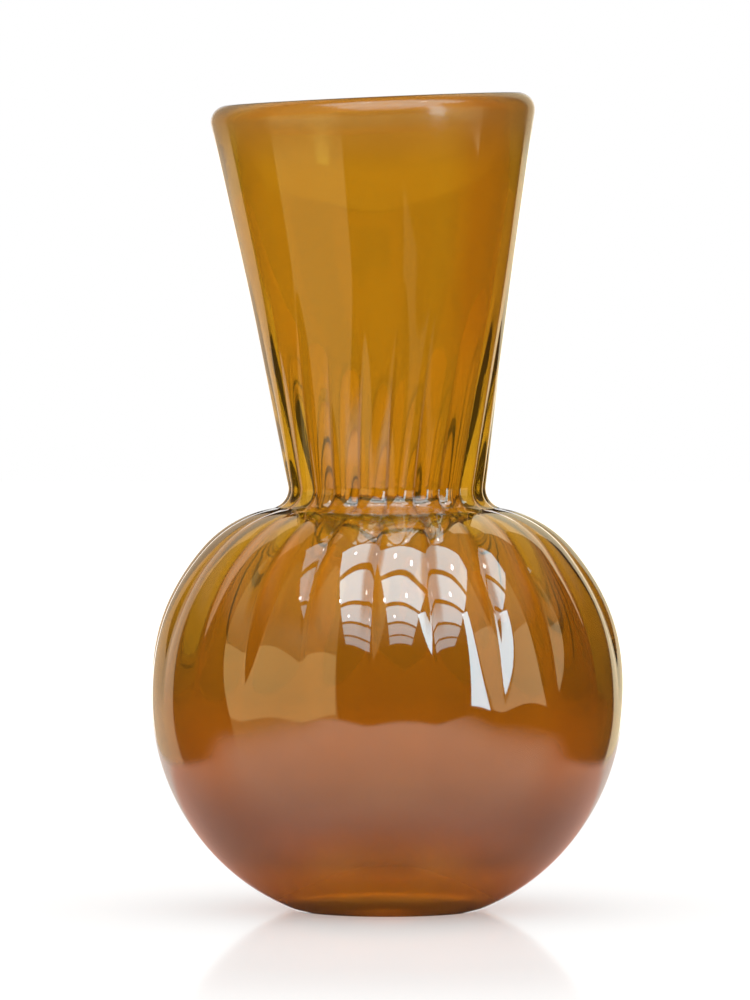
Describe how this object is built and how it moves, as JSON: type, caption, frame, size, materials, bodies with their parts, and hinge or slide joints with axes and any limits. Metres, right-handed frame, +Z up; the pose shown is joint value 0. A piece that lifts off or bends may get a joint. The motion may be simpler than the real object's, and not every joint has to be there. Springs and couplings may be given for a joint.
{
  "type": "gourd vase",
  "caption": "Mouth-blown gourd vase with a round ribbed body, a pinched waist and a wide leaning neck, in lustred amber glass, standing on a flat ground base.",
  "frame": {"origin": "middle of the base, on the surface that the vase stands on", "axes": "+Z up, along the body's axis; the pictured front faces -Y and the neck leans towards -X"},
  "size_m": [0.1458, 0.146, 0.2521],
  "materials": {
    "casing_glass": "glossy blown glass with a thin golden lustre",
    "amber_glass": "glossy blown glass, amber right through"
  },
  "bodies": {
    "root": {"outer_casing": "casing_glass", "amber_lining": "amber_glass"}
  },
  "joints": []
}
